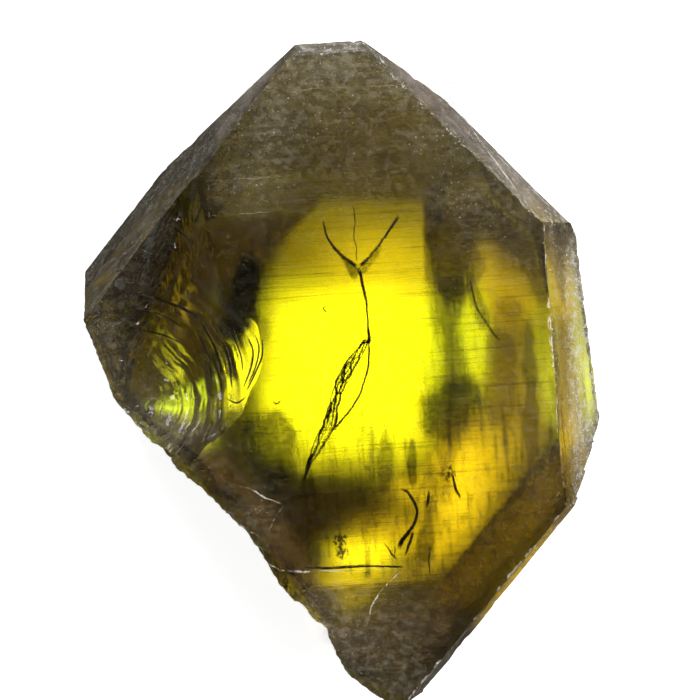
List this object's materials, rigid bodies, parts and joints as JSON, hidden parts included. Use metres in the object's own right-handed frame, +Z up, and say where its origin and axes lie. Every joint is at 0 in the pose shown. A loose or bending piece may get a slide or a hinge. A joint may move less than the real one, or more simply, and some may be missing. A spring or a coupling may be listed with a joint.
{
  "type": "citrine crystal point",
  "caption": "Flat smoky-yellow quartz crystal with a point at each end, see-through, its left corner and lower tip broken, lying on its back face",
  "frame": {"origin": "middle of the bounding box in plan, on the surface that the crystal lies on", "axes": "+Z is up, the normal of the main prism face; +Y is the long crystal (c) axis, towards the whole point; +X is towards the whole prism edge"},
  "size_m": [0.088, 0.1111, 0.023],
  "materials": {
    "citrine": "vitreous natural quartz, smoky yellow and see-through, faces finely striated and partly frosted"
  },
  "bodies": {
    "root": {"citrine_crystal": "citrine"}
  },
  "joints": []
}
